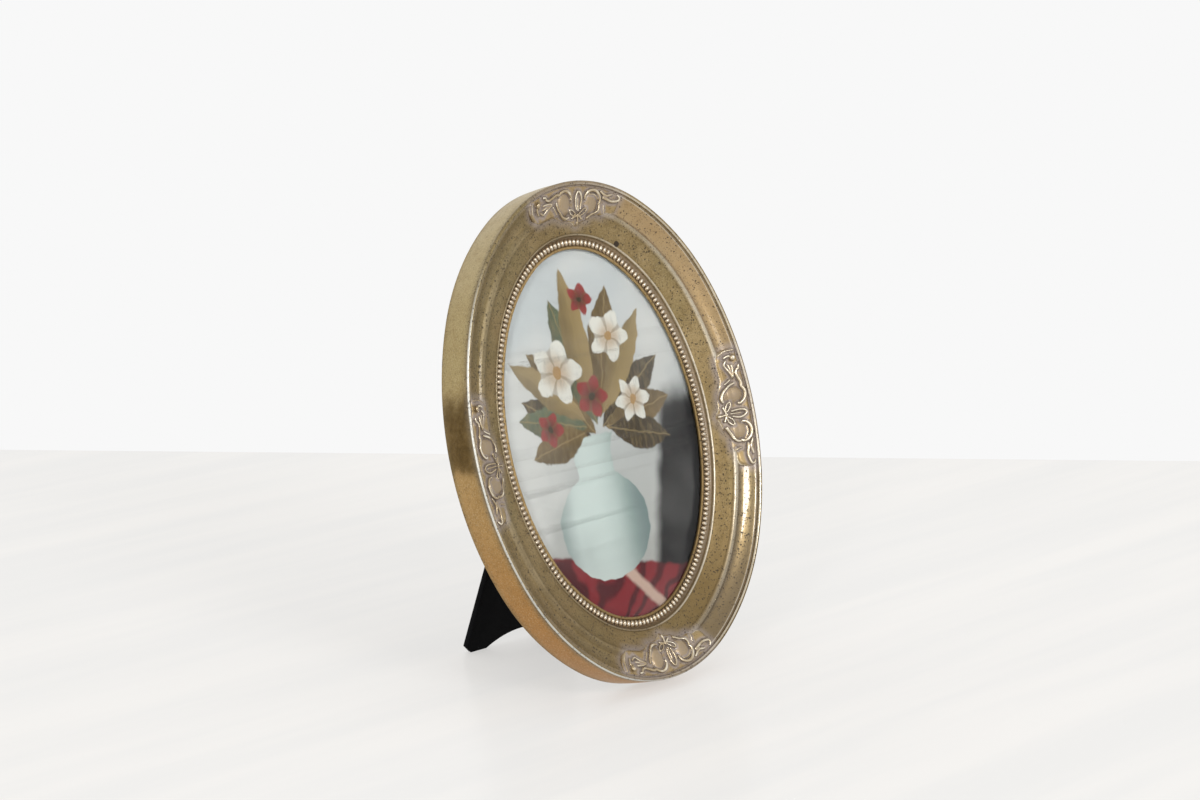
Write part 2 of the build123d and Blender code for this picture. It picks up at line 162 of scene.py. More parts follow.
def closeUp(obj, gap=1e-4):
    # merges doubles and turns every face outwards
    editAll(obj)
    bpy.ops.mesh.remove_doubles(threshold=gap)
    bpy.ops.mesh.normals_make_consistent(inside=False)
    objectMode()
    return obj


def addModifier(obj, kind, **settings):
    pick(obj)
    modifier = obj.modifiers.new(kind.lower(), kind)
    for name, value in settings.items():
        setattr(modifier, name, value)
    bpy.ops.object.modifier_apply(modifier=modifier.name)


def roundEdges(obj, width, segments, angle):
    settings = {"width": width * mm, "segments": segments}
    addModifier(obj, "BEVEL", limit_method="ANGLE", angle_limit=radians(angle), **settings)


def copied(obj):
    # a copy with a mesh of its own
    copy = obj.copy()
    copy.data = obj.data.copy()
    scene.collection.objects.link(copy)
    return copy


def joinAll(objects, name):
    pick(*objects)
    bpy.ops.object.join()
    joined = bpy.context.view_layer.objects.active
    joined.name = name
    joined.data.name = name
    return joined


def smoothShade(obj, angle=35):
    pick(obj)
    bpy.ops.object.shade_smooth_by_angle(angle=radians(angle))
    return obj


def readPoints(mesh):
    flat = np.empty(len(mesh.vertices) * 3)
    mesh.vertices.foreach_get("co", flat)
    return flat.reshape(-1, 3)


def writePoints(mesh, points):
    mesh.vertices.foreach_set("co", np.ascontiguousarray(points).ravel())
    mesh.update()


def setAttribute(mesh, name, values):
    layer = mesh.attributes.new(name, "FLOAT", "POINT")
    layer.data.foreach_set("value", np.ascontiguousarray(values, dtype=np.float32))


def flatPolygon(name, points):
    # a circle primitive whose corners are moved to the points of an outline
    obj = added(bpy.ops.mesh.primitive_circle_add, name, vertices=len(points), fill_type="NGON")
    writePoints(obj.data, np.array([(x, y, 0) for x, y in points]))
    return obj


def thicken(obj, depth):
    # a flat outline becomes a plate below it, still in edit mode
    editAll(obj)
    bpy.ops.mesh.extrude_region_move(TRANSFORM_OT_translate={"value": (0, 0, -depth)})


def smoothLoop(points, steps, closed=True):
    # points along a curve that passes through the given ones
    count = len(points)
    spans = count if closed else count - 1
    found = []
    for index in range(spans):
        spots = [index + shift for shift in (-1, 0, 1, 2)]
        spots = [spot % count if closed else min(max(spot, 0), count - 1) for spot in spots]
        a, b, c, d = (np.array(points[spot], float) for spot in spots)
        for step in range(steps):
            t = step / steps
            bend = (2 * a - 5 * b + 4 * c - d) * t**2
            twist = (3 * b - a - 3 * c + d) * t**3
            found.append(0.5 * (2 * b + (c - a) * t + bend + twist))
    if not closed:
        found.append(np.array(points[-1], float))
    return found


def place(obj, matrix):
    # the piece's place goes into its mesh
    obj.data.transform(matrix)
    obj.matrix_world = Matrix.Identity(4)


def dress(obj, material):
    obj.data.materials.clear()
    obj.data.materials.append(material)


def finishPiece(obj, body, slot, material, *nodes):
    dress(obj, material)
    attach(obj, body)
    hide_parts(*nodes)
    print("made", obj.name, len(obj.data.polygons), "faces")


def softened(node, name, width, segments=2):
    # a copy of a CAD node, its flat faces merged and its edges rounded, that stays where the node is
    copy = copied(frame["nodes"][node])
    for key in list(copy.keys()):
        del copy[key]
    copy.parent = None
    copy.name = name
    copy.data.name = name
    editAll(copy)
    bpy.ops.mesh.remove_doubles(threshold=1e-6)
    bpy.ops.mesh.dissolve_limited(angle_limit=radians(2))
    objectMode()
    roundEdges(copy, width, segments, 30)
    return smoothShade(copy)


# Shader maths
class Wire:
    # a shader socket that takes part in Python expressions
    def __init__(self, tree, socket):
        self.tree = tree
        self.socket = socket

    def node(self, kind, settings=None, inputs=None, output=0):
        made = self.tree.nodes.new(kind)
        for name, value in (settings or {}).items():
            setattr(made, name, value)
        for name, value in (inputs or {}).items():
            if isinstance(value, Wire):
                self.tree.links.new(value.socket, made.inputs[name])
            else:
                made.inputs[name].default_value = value
        return Wire(self.tree, made.outputs[output])

    def maths(self, operation, *values):
        # the values are all the operands there are
        return self.node("ShaderNodeMath", {"operation": operation}, dict(enumerate(values)))

    def __add__(self, other):
        return self.maths("ADD", self, other)

    def __radd__(self, other):
        return self.maths("ADD", other, self)

    def __sub__(self, other):
        return self.maths("SUBTRACT", self, other)

    def __rsub__(self, other):
        return self.maths("SUBTRACT", other, self)

    def __mul__(self, other):
        return self.maths("MULTIPLY", self, other)

    def __truediv__(self, other):
        return self.maths("DIVIDE", self, other)

    def __pow__(self, other):
        return self.maths("POWER", self, other)

    def __abs__(self):
        return self.maths("ABSOLUTE", self)

    def clamp(self):
        return self.node("ShaderNodeClamp", None, {"Value": self})

    def step(self, low, high):
        # 0 below low, 1 above high, smooth between, and the other way where low is above high
        settings = {"interpolation_type": "SMOOTHSTEP"}
        if low > high:
            values = {"Value": self, "From Min": high, "From Max": low, "To Min": 1.0, "To Max": 0.0}
        else:
            values = {"Value": self, "From Min": low, "From Max": high}
        return self.node("ShaderNodeMapRange", settings, values)


def makeMaterial(name, build, *settings):
    # its surface is the shader that build makes from the object's own coordinates
    material = bpy.data.materials.new(name)
    material.use_nodes = True
    tree = material.node_tree
    tree.nodes.clear()
    shader = build(Wire(tree, None).node("ShaderNodeTexCoord", output="Object"), *settings)
    output = tree.nodes.new("ShaderNodeOutputMaterial")
    tree.links.new(shader.socket, output.inputs["Surface"])
    return material


def rgba(colour):
    # a colour given as 0 to 255 on the screen, in the light's own scale; a wire stays as it is
    if isinstance(colour, Wire):
        return colour
    return (*(((c / 255 + 0.055) / 1.055) ** 2.4 if c > 10.3 else c / 255 / 12.92 for c in colour), 1.0)


def mixColour(start, factor, a, b):
    # the Mix node takes colours at its sockets 6 and 7 and gives one at its socket 2
    return start.node("ShaderNodeMix", {"data_type": "RGBA"}, {0: factor, 6: a, 7: b}, 2)


def layered(start, base, *coats):
    # coats laid over a base colour, each given as the share that it covers and its colour
    colour = rgba(base)
    for share, coat in coats:
        colour = mixColour(start, share, colour, rgba(coat))
    return colour


def noise(point, scale, detail=3, roughness=0.5, distortion=0, output=0):
    values = {"Vector": point, "Scale": scale, "Detail": detail, "Roughness": roughness}
    values["Distortion"] = distortion
    return point.node("ShaderNodeTexNoise", None, values, output)


def voronoi(point, scale):
    return point.node("ShaderNodeTexVoronoi", None, {"Vector": point, "Scale": scale})


def attribute(start, name):
    return start.node("ShaderNodeAttribute", {"attribute_name": name}, output="Fac")


def axisOf(point, axis):
    return point.node("ShaderNodeSeparateXYZ", None, {"Vector": point}, axis)


def lookingRays(start):
    # 1 for what the camera sees straight, mirrored or through glass, 0 for light on its way
    path = start.tree.nodes.new("ShaderNodeLightPath")
    kinds = ("Is Camera Ray", "Is Glossy Ray", "Is Transmission Ray")
    straight, mirrored, through = (Wire(start.tree, path.outputs[kind]) for kind in kinds)
    return (straight + mirrored + through).clamp()


def stretched(point, scale, turn=(0, 0, 0)):
    return point.node("ShaderNodeMapping", None, {"Vector": point, "Scale": scale, "Rotation": turn})


def principled(start, values):
    return start.node("ShaderNodeBsdfPrincipled", None, values)


def bump(height, strength, distance):
    return height.node("ShaderNodeBump", None, {"Height": height, "Strength": strength, "Distance": distance})


print("helpers ready")

# Camera at the photograph's viewpoint
view = {
    "azimuth": -44.72,
    "elevation": 12.66,
    "roll": 0.542,
    "distance": 1169.23,
    "aim": (0, -0.55, 110),
    "shiftRight": 2.216,
    "shiftUp": 11.811,
    "lens": 79,
    "nearest": 50,
}


def makeCamera():
    turn, tilt, roll = (radians(view[key]) for key in ("azimuth", "elevation", "roll"))
    back = Vector((sin(turn) * cos(tilt), -cos(turn) * cos(tilt), sin(tilt)))
    level = Vector((cos(turn), sin(turn), 0))
    rise = back.cross(level)
    right = level * cos(roll) + rise * sin(roll)
    up = rise * cos(roll) - level * sin(roll)
    eye = Vector(view["aim"]) + right * view["shiftRight"] + up * view["shiftUp"] + back * view["distance"]
    camera = added(bpy.ops.object.camera_add, "viewCamera")
    turned = Matrix((right, up, back)).transposed().to_4x4()
    camera.matrix_world = Matrix.Translation(eye * mm) @ turned
    camera.data.lens = view["lens"]
    camera.data.clip_start = view["nearest"] * mm
    scene.camera = camera
    return level, back


cameraRight, cameraBack = makeCamera()

# Table, world and lamps
stage = {
    "tableHalfWidth": 3200,
    "tableFront": 3200,
    "tableBack": 392,
    "tableColour": (240, 239, 237),
    "tableGrain": (245, 243, 240),
    "tableGlow": 0.6,
    "backdrop": (248, 248, 248),
    "ambient": 0.82,
}

# place, aim, width, height and power of each lamp
lamps = {
    "frontSoftbox": ((-250, -2580, 1550), (0, 0, 110), 980, 430, 22),
    "frontWindow": ((-250, -2880, 930), (0, 0, 110), 600, 1280, 5),
    "leftSoftbox": ((-2500, -1300, 960), (0, 0, 120), 200, 1800, 16),
}


def tableTop(point):
    turn = (0, 0, radians(-view["azimuth"]))
    grain = noise(stretched(point, (1.2, 14, 1), turn), 2, 4, 0.55)
    tint = layered(point, stage["tableColour"], (grain.step(0.35, 0.7), stage["tableGrain"]))
    shader = principled(point, {"Base Color": tint, "Roughness": 0.25, "Specular IOR Level": 0.2})
    # more than half of what the camera, metal and glass see of the table is its own pale colour
    glow = point.node("ShaderNodeEmission", None, {"Color": tint, "Strength": 1})
    share = lookingRays(point) * stage["tableGlow"]
    return point.node("ShaderNodeMixShader", None, {0: share, 1: shader, 2: glow})


def makeTable():
    table = added(bpy.ops.mesh.primitive_plane_add, "table", size=2)
    forward = Vector((-cameraBack.x, -cameraBack.y, 0)).normalized()
    across = Vector((cameraRight.x, cameraRight.y, 0)).normalized()
    near, far = -stage["tableFront"], stage["tableBack"]
    corners = [
        (across * side * stage["tableHalfWidth"] + forward * deep) * mm
        for side, deep in ((-1, near), (1, near), (-1, far), (1, far))
    ]
    writePoints(table.data, np.array([tuple(corner) for corner in corners]))
    editAll(table)
    bpy.ops.mesh.subdivide(number_cuts=4)
    objectMode()
    table.data.materials.append(makeMaterial("tableTop", tableTop))


def makeWorld():
    world = bpy.data.worlds.new("studio")
    scene.world = world
    world.use_nodes = True
    world.node_tree.nodes.clear()
    start = Wire(world.node_tree, None)
    grey = (stage["ambient"],) * 3 + (1.0,)
    colour = mixColour(start, lookingRays(start), grey, rgba(stage["backdrop"]))
    background = start.node("ShaderNodeBackground", None, {"Color": colour, "Strength": 1})
    output = world.node_tree.nodes.new("ShaderNodeOutputWorld")
    world.node_tree.links.new(background.socket, output.inputs["Surface"])


def addSoftbox(name, place, aim, width, height, power):
    lamp = added(bpy.ops.object.light_add, name, type="AREA", location=Vector(place) * mm)
    lamp.data.shape = "RECTANGLE"
    lamp.data.size = width * mm
    lamp.data.size_y = height * mm
    lamp.data.energy = power
    toward = (Vector(aim) - Vector(place)).normalized()
    lamp.rotation_euler = toward.to_track_quat("-Z", "Y").to_euler()


makeTable()
makeWorld()
for name, settings in lamps.items():
    addSoftbox(name, *settings)
scene.view_settings.view_transform = "Standard"
print("camera, table and lamps ready")


# Finishes. Places and heights in them are metres of the standing frame, insets and rises millimetres.
gold = {
    "wander": 0.0011,
    "knockPlace": (0.0275, 0.0149, 0.1877),
    # insets where a feature of the section begins, is full, is full for the last time and ends
    "outerRimHighlight": (0.1, 0.2, 0.55, 0.85),
    "innerRimHighlight": (1.25, 1.45, 1.85, 2),
    "groove": (1.9, 2.15, 2.7, 3.4),
    "coveHighlight": (2.55, 2.75, 3, 3.2),
    "cove": (2.6, 3.2, 10.4, 11.6),
    "slope": (9.6, 10.2, 11.8, 12.6),
    "ridge": (9.9, 11.2, 12.6, 14.2),
    "fillet": (22.35, 22.5, 23.35, 23.5),
    "channel": (23.4, 23.8, 27.5, 27.7),
    "lip": (27.5, 27.8, 29, 29.1),
}


def antiqueGold(point, kind):
    # kind moulding reads the section's inset and rise, kind relief an ornament's height and swell
    cloud = noise(point, 38, 4, 0.6)
    grime = noise(point, 170, 5, 0.65)
    grit = noise(point, 1500, 3, 0.6)
    wander = noise(point, 500, 2, output="Color")
    moved = {0: wander, 1: (gold["wander"],) * 3, 2: point}
    shift = point.node("ShaderNodeVectorMath", {"operation": "MULTIPLY_ADD"}, moved)
    pits = voronoi(shift, 640).step(0.34, 0.18) * noise(point, 420, 2).step(0.47, 0.52)
    dust = voronoi(shift, 1300).step(0.42, 0.24) * noise(point, 520, 2).step(0.48, 0.54)
    slant = stretched(point, (900, 90, 900), (0, radians(35), radians(20)))
    streaks = noise(slant, 1, 2).step(0.66, 0.74)
    olive = layered(
        point, (138, 118, 80),
        (cloud.step(0.3, 0.7), (156, 136, 98)),
        (noise(point, 24).step(0.48, 0.62) * 0.4, (126, 115, 78)),
        (grime.step(0.45, 0.75) * 0.5, (108, 90, 56)),
        (grit.step(0.5, 0.72) * 0.4, (178, 162, 128)),
        (grit.step(0.48, 0.3) * 0.45, (92, 76, 48)),
    )
    across = axisOf(point, "X")
    right = across.step(-0.01, 0.045)
    near = attribute(point, "wash")
    if kind == "moulding":
        inset = attribute(point, "inset")
        rise = attribute(point, "rise")
        tall = axisOf(point, "Z")
        left = across.step(0.03, -0.03)
        front = rise.step(5, 6)

        def band(name):
            # 1 along a feature of the section and 0 beside it, on the front only
            begin, full, last, end = gold[name]
            return inset.step(begin, full) * inset.step(end, last) * front

        # the side wall has painted reflected light, orange below where it faces the table and paler above,
        # and it is tarnished on the left
        wall = inset.step(0.35, 0.05) * rise.step(16.9, 16.3)
        face = 1 - wall
        level = tall + (cloud - 0.5) * 0.03
        tarnish = level.step(0.098, 0.106) * level.step(0.142, 0.132) * across.step(-0.062, -0.078)
        warm = layered(
            point, (174, 123, 54),
            (level.step(0.02, 0.15), (186, 158, 104)),
            (level.step(0.125, 0.145), (172, 153, 104)),
            (level.step(0.15, 0.21), (186, 169, 128)),
            (grime.step(0.4, 0.8) * 0.3, (140, 110, 66)),
            (grit.step(0.48, 0.7) * 0.4, (204, 184, 144)),
            (grit.step(0.48, 0.3) * 0.35, (120, 92, 52)),
            (tarnish * (0.5 + grime * 0.7).clamp(), (88, 68, 32)),
        )
        # the front's features, how far each is polished, and how pale their crests are painted, as wear and
        # as painted highlights that are stronger on the right
        rim = rise.step(16.9, 17.2) * inset.step(2.1, 1.9)
        outerRimHighlight = rim * band("outerRimHighlight") * left * (0.45 + cloud * 0.5) * tall.step(0.195, 0.15)
        innerRimHighlight = rim * band("innerRimHighlight") * (0.2 + right * 0.8)
        coveHighlight = band("coveHighlight") * right
        ridge = band("ridge") * (0.15 + right * 0.85)
        cove = band("cove")
        fillet = band("fillet")
        channel = band("channel")
        edges = (outerRimHighlight + innerRimHighlight + coveHighlight + fillet * (0.3 + right * 0.7)).clamp()
        polish = (edges * 0.9 + rim * 0.2 + ridge + channel * 0.5 + cove * (0.1 + right * 0.75)).clamp()
        polish = (polish + wall * (1 - tarnish) * 0.2).clamp()
        middle = tall.step(0.03, 0.08) * tall.step(0.2, 0.15)
        crestHighlight = innerRimHighlight * 0.9 + outerRimHighlight * 0.9 + coveHighlight * 0.6 + ridge * (0.2 + middle * 0.65)
        crestHighlight = (crestHighlight + fillet * (0.15 + right * 0.85)).clamp()
        wornAndHighlight = (crestHighlight * (cloud * 0.9 + 0.2)).clamp()
        recess = (band("groove") * 0.3 + channel * 0.3 + near * face * 0.95).clamp()
        recess = recess * (0.45 + grime * 0.8).clamp()
        # a knock on the band beside the top ornament
        ends = {0: shift, 1: gold["knockPlace"]}
        away = point.node("ShaderNodeVectorMath", {"operation": "DISTANCE"}, ends, "Value")
        knock = away.step(0.0016, 0.0011) * grime.step(0.3, 0.36)
        dark = (pits + dust * 0.7).clamp() * (face + 0.25).clamp()
        dark = dark * (1 - crestHighlight * 0.6) * (1 - channel * 0.8)
        dark = (dark + streaks * 0.2 * face + knock).clamp()
        # painted shade on the face, over its lower right and over its lowest part all round
        paintedShade = (tall.step(0.16, 0.1) * right * 0.45 + tall.step(0.07, 0.03) * 0.45).clamp()
        colour = layered(
            point, warm,
            (face, olive),
            # painted shade on the ridge's outer slope on the left
            (band("slope") * left * 0.45, (92, 78, 50)),
            # the channel behind the beads is partly its own tan and partly painted light that lifts its shade
            (channel * 0.6, (170, 148, 118)),
            # painted shade on the fillet on the left
            (fillet * (1 - right) * 0.5, (104, 88, 60)),
            (band("lip") * 0.5, (178, 148, 100)),
            # painted light on the upper right of the cove
            (cove * tall.step(0.1, 0.16) * right * 0.55, (184, 150, 100)),
            (face * paintedShade, (112, 92, 58)),
            (knock, (34, 30, 26)),
        )
        # a painted bluish-white highlight along the rim's outer flank on the left, then the specks
        lastCoats = [(outerRimHighlight * 0.8, (216, 221, 220)), (dark * 0.85, (58, 46, 32))]
    else:
        relief = attribute(point, "relief")
        swell = attribute(point, "swell")
        edges = swell.step(0.05, 0.2)
        # painted highlights on the wire tops, as spots and brighter on the right-hand ornament, together with
        # wear
        glint = (noise(point, 150, 2).step(0.47, 0.6) + right * 0.7).clamp()
        wornAndHighlight = edges * (0.2 + glint * 0.8)
        recess = near * swell.step(0.07, -0.01) * (0.55 + grime * 0.7).clamp()
        polish = (swell.step(0, 0.15) + 0.45).clamp()
        # painted shade in the crevices beside the wires, laid on with the specks
        creviceShade = swell.step(-0.03, -0.14)
        dark = ((pits + dust).clamp() * relief.step(0.8, 0.3) * 0.55 + creviceShade * 0.55).clamp()
        colour = layered(point, olive, (0.5, (172, 144, 96)))
        lastCoats = [(dark * 0.85, (70, 54, 34))]
    # a grey wash in the hollows, and pale metal on the edges, partly wear and partly painted highlight
    coats = [(recess * 0.8, (154, 144, 142)), (wornAndHighlight * 0.85, (234, 224, 202)), *lastCoats]
    colour = layered(point, colour, *coats)
    metal = (0.9 - dark * 0.6 - recess * 0.4 - wornAndHighlight * 0.15).clamp()
    rough = (0.46 + grime * 0.14 + dark * 0.25 + recess * 0.12 - polish * 0.26).clamp()
    coat = (polish * (1.15 - grime * 0.8) * (1 - dark) * (1 - recess * 0.8)).clamp()
    relieved = (grit * 0.22 + grime * 0.3) * (1 - edges * 0.8) - dark * 0.9
    return principled(point, {
        "Base Color": colour, "Metallic": metal, "Roughness": rough, "Coat Weight": coat,
        "Coat Roughness": 0.08, "Coat IOR": 1.75, "Normal": bump(relieved, 0.45, 0.00011),
    })


def beadGold(point):
    grime = noise(point, 260, 4, 0.6)
    rise = attribute(point, "rise")
    foot = rise.step(0.75, 0.15)
    top = rise.step(1.2, 1.46)
    right = axisOf(point, "X").step(-0.06, 0.05)
    colour = layered(
        point, (168, 148, 118),
        (grime.step(0.35, 0.7), (142, 121, 92)),
        # painted shade at each bead's foot, and a painted highlight on its top that is stronger on the right
        (foot * 0.85, (104, 86, 70)),
        (top * (0.35 + right * 0.35), (232, 224, 208)),
    )
    rough = (0.24 + grime * 0.14 + foot * 0.2).clamp()
    coat = (1 - grime * 0.3).clamp()
    return principled(point, {
        "Base Color": colour, "Metallic": 0.9, "Roughness": rough, "Coat Weight": coat,
        "Coat Roughness": 0.1, "Coat IOR": 1.7, "Normal": bump(grime, 0.3, 0.00005),
    })


def blackVelour(point):
    nap = noise(point, 90, 3, 0.6, 0.4)
    pile = noise(point, 3200, 2)
    colour = layered(
        point, (7, 7, 8), (nap.step(0.35, 0.7), (13, 13, 14)), (pile.step(0.45, 0.75) * 0.5, (24, 24, 26)),
    )
    return principled(point, {
        "Base Color": colour, "Roughness": 0.95, "Sheen Weight": 0.07, "Sheen Roughness": 0.4,
        "Specular IOR Level": 0.06, "Normal": bump(pile + nap * 0.4, 0.6, 0.00015),
    })


def greyBoard(point):
    fibre = noise(stretched(point, (300, 60, 300)), 4, 4, 0.6)
    colour = layered(point, (96, 88, 78), (fibre.step(0.35, 0.7), (126, 117, 104)))
    normal = bump(fibre, 0.3, 0.0001)
    return principled(point, {"Base Color": colour, "Roughness": 0.9, "Normal": normal})


def hingeSteel(point, dark, light):
    smear = noise(point, 260, 5, 0.7)
    brushed = noise(stretched(point, (60, 1800, 1800)), 1, 3, 0.6)
    colour = layered(point, dark, (smear.step(0.3, 0.7), light))
    rough = (0.3 + smear * 0.2 + brushed * 0.12).clamp()
    normal = bump(brushed, 0.25, 0.00004)
    values = {"Base Color": colour, "Metallic": 0.95, "Roughness": rough, "Normal": normal}
    return principled(point, values)


def clearGlass(point):
    # light on its way to the print passes straight through
    film = noise(point, 25, 2)
    glass = principled(point, {
        "Base Color": (0.98, 1, 0.99, 1), "Roughness": film * 0.02, "IOR": 1.3, "Transmission Weight": 1,
    })
    clear = point.node("ShaderNodeBsdfTransparent", None, {"Color": (0.97, 0.98, 0.97, 1)})
    shadow = point.node("ShaderNodeLightPath", output="Is Shadow Ray")
    return point.node("ShaderNodeMixShader", None, {0: shadow, 1: glass, 2: clear})


# The print, in millimetres from its middle. sightHalf has the half sizes of the oval within the lip.
picture = {
    "sightHalf": (57.15, 82.55),
    "jugMiddle": (-9, -40),
    "jugHalf": (27, 24.495),
    "ground": (199, 203, 204),
    "groundLow": (182, 182, 178),
    "haze": (217, 216, 213),
    "jug": (170, 185, 180),
    "jugShade": (104, 122, 122),
    "jugLight": (206, 216, 212),
    "dark": (20, 18, 20),
    "darkFold": (50, 40, 40),
    # the painted shadow of the lip at the print's lower right edge
    "lipShadow": (6, 5, 6),
    "cloth": (136, 38, 44),
    "clothShade": (84, 22, 28),
    "clothFold": (205, 176, 160),
    "leafDark": (66, 54, 36),
    "leafMid": (116, 94, 58),
    "leafLight": (158, 136, 92),
    "leafGreen": (96, 108, 84),
    "blossom": (226, 224, 216),
    "blossomCore": (176, 140, 92),
    "berry": (150, 58, 54),
    # stalk's foot, direction in degrees, length, half width and colour of each leaf
    "leaves": [
        (-6, -2, 150, 44, 8.5, "leafDark"), (-4, 0, 128, 52, 9.5, "leafMid"), (0, 2, 34, 50, 9, "leafDark"),
        (-8, 4, 168, 40, 8, "leafGreen"), (2, 2, 12, 44, 8.5, "leafMid"), (-2, 4, 104, 60, 9, "leafGreen"),
        (0, 6, 72, 62, 9.5, "leafMid"), (4, 2, -14, 38, 8.5, "leafDark"), (-10, 2, 192, 34, 8, "leafMid"),
        (-4, 10, 92, 66, 7.5, "leafLight"), (2, 8, 52, 56, 7.5, "leafLight"),
        (-8, 6, 140, 50, 7, "leafLight"),
    ],
    # middle, size, petals, turn and colour of each blossom
    "blossoms": [
        (-20, 30, 15, 5, 10, "blossom"), (15, 42, 12.5, 5, 40, "blossom"), (22, 12, 11, 6, 0, "blossom"),
        (-2, 17, 10, 5, 25, "berry"), (-30, 6, 8, 5, 60, "berry"), (2, 60, 8, 5, 15, "berry"),
    ],
}


def printedPicture(point):
    # a plain still life for the insert: leaves and blossoms in a jug
    upFrame = Vector((0, sin(leanAngle), cos(leanAngle)))
    ends = {0: point, 1: tuple(upFrame)}
    height = point.node("ShaderNodeVectorMath", {"operation": "DOT_PRODUCT"}, ends, "Value")
    waver = noise(point, 90, 3, 0.6) - 0.5
    sway = noise(stretched(point, (1, 1, 1), (0.6, 0.4, 0.9)), 110, 3, 0.6) - 0.5
    x = axisOf(point, "X") * 1000 + waver * 4.5
    y = (height - ovalOrigin.dot(upFrame)) * 1000 + sway * 4.5
    cloud = noise(point, 16)
    brush = noise(stretched(point, (500, 500, 90), (0, 0.5, 0)), 1, 3, 0.6)

    # a dark curtain on the right and a cloth with a pale fold below
    edge = x - (14 + (y + 60) * 0.3)
    curtain = layered(point, picture["dark"], (brush.step(0.45, 0.7) * 0.5, picture["darkFold"]))
    ripple = cloud * 60 + x * 0.3 - y * 0.2
    wave = ripple.maths("SINE", ripple)
    cloth = layered(point, picture["cloth"], (wave.step(-0.2, 0.9), picture["clothShade"]))
    fold = abs(x - 6 + (y + 70) * 0.9)
    colour = layered(
        point, picture["ground"],
        (y.step(60, -60), picture["groundLow"]),
        (cloud.step(0.45, 0.65) * 0.8, picture["haze"]),
        (edge.step(0, 7) * y.step(20, 4), curtain),
        ((y + 58 + x * 0.22).step(1, -1), cloth),
        (fold.step(5, 2) * (y + 60).step(0.5, -2), picture["clothFold"]),
    )

    def leaf(colour, footX, footY, turn, length, half, name):
        across, along = cos(radians(turn)), sin(radians(turn))
        a = (x - footX) * across + (y - footY) * along
        b = (y - footY) * across - (x - footX) * along
        share = a / length
        width = share * (1 - share) * (4 * half)
        away = abs(b)
        inside = (width - away + (brush - 0.5) * 0.8).step(-0.3, 0.9) * share.step(0, 0.02)
        shade = layered(
            point, picture[name],
            ((b / half).step(-0.6, 0.8) * 0.45, picture["leafDark"]),
            (brush.step(0.4, 0.75) * 0.35, picture["leafLight"]),
            (away.step(0.6, 0.2) * 0.5, picture["leafLight"]),
        )
        return mixColour(point, inside, colour, shade)

    def blossom(colour, middleX, middleY, size, petals, turn, name):
        dx, dy = x - middleX, y - middleY
        away = (dx * dx + dy * dy) ** 0.5
        angle = dy.maths("ARCTAN2", dy, dx) * petals + radians(turn)
        wave = angle.maths("COSINE", angle)
        reach = (wave * 0.16 + 0.84) * size
        inside = (reach - away + (brush - 0.5) * 0.8).step(-0.3, 0.9)
        core = picture["blossomCore"] if name == "blossom" else picture["leafDark"]
        petal = layered(
            point, picture[name],
            ((away / size).step(0.75, 0.2) * 0.6, core),
            (wave.step(-0.55, -1) * 0.45, picture["leafMid"]),
            (brush.step(0.5, 0.8) * 0.25, picture["jugShade"]),
            (away.step(size * 0.2, size * 0.15), core),
        )
        return mixColour(point, inside, colour, petal)

    # the first leaves hang behind the jug, the others and the blossoms before it
    for spec in picture["leaves"][:6]:
        colour = leaf(colour, *spec)
    # the jug has a round body and a neck that widens to its lip
    jugX, jugY = x - picture["jugMiddle"][0], y - picture["jugMiddle"][1]
    halfX, halfY = picture["jugHalf"]
    body = (1 - (jugX * jugX / halfX**2 + jugY * jugY / halfY**2)).step(0, 0.05)
    spread = 11 + (y + 14) * (y + 14) * 0.018
    neck = (spread - abs(jugX)).step(0, 0.6) * (y + 26).step(0, 1) * y.step(0.6, -0.6)
    glaze = layered(
        point, picture["jugLight"],
        (jugX.step(-4, 22), picture["jug"]),
        (jugX.step(6, 27) * 0.8, picture["jugShade"]),
        (jugX.step(-16, -27) * 0.6, picture["jugShade"]),
        (cloud.step(0.4, 0.6) * 0.25, picture["jugShade"]),
    )
    colour = mixColour(point, (body + neck).clamp(), colour, glaze)
    for spec in picture["leaves"][6:]:
        colour = leaf(colour, *spec)
    for spec in picture["blossoms"]:
        colour = blossom(colour, *spec)
    # a haze over all, and a painted shadow of the lip over the lower right border
    halfX, halfY = picture["sightHalf"]
    border = (x * x / halfX**2 + y * y / halfY**2).step(0.84, 0.92) * x.step(30, 40) * y.step(12, 0)
    colour = layered(
        point, colour, (cloud.step(0.35, 0.7) * 0.12, picture["haze"]), (border * 0.9, picture["lipShadow"]),
    )
    return principled(point, {"Base Color": colour, "Roughness": 0.4, "Specular IOR Level": 0.12})


goldFace = makeMaterial("antiqueGold", antiqueGold, "moulding")
goldRelief = makeMaterial("antiqueGoldRelief", antiqueGold, "relief")
goldBead = makeMaterial("beadGold", beadGold)
velour = makeMaterial("blackVelour", blackVelour)
board = makeMaterial("greyBoard", greyBoard)
steel = makeMaterial("hingeSteel", hingeSteel, (138, 136, 130), (160, 158, 152))
brass = makeMaterial("buttonBrass", hingeSteel, (150, 122, 72), (190, 160, 104))
glassFinish = makeMaterial("clearGlass", clearGlass)
printed = makeMaterial("printedPicture", printedPicture)
print("finishes ready")

# Moulding: one section, spun round the centre of each arc of the oval
moulding = {
    "wallSag": 0.22,
    "wallFoot": 0.5,
    "wallHeight": 16.2,
    "wallSteps": 8,
    # rounds of the section, given as bow takes them
    "rim": (1.05, 17.05, 0.95, -8, 180, 12),
    "ridge": (12.2, 10.95, 2.5, 62, 142, 10),
    "fillet": (22.9, 9.36, 0.5, 20, 178, 8),
    # inset and height
    "cove": [
        (3.1, 16.38), (3.5, 16.15), (4.2, 15.55), (5.2, 14.82), (6.4, 14.08), (7.7, 13.42), (8.9, 12.95),
        (9.7, 12.75), (10.35, 12.84),
    ],
    "facetLength": 2,
    "frontHeight": 8,
    "washReach": 3.2,
    "washSpan": 36,
}


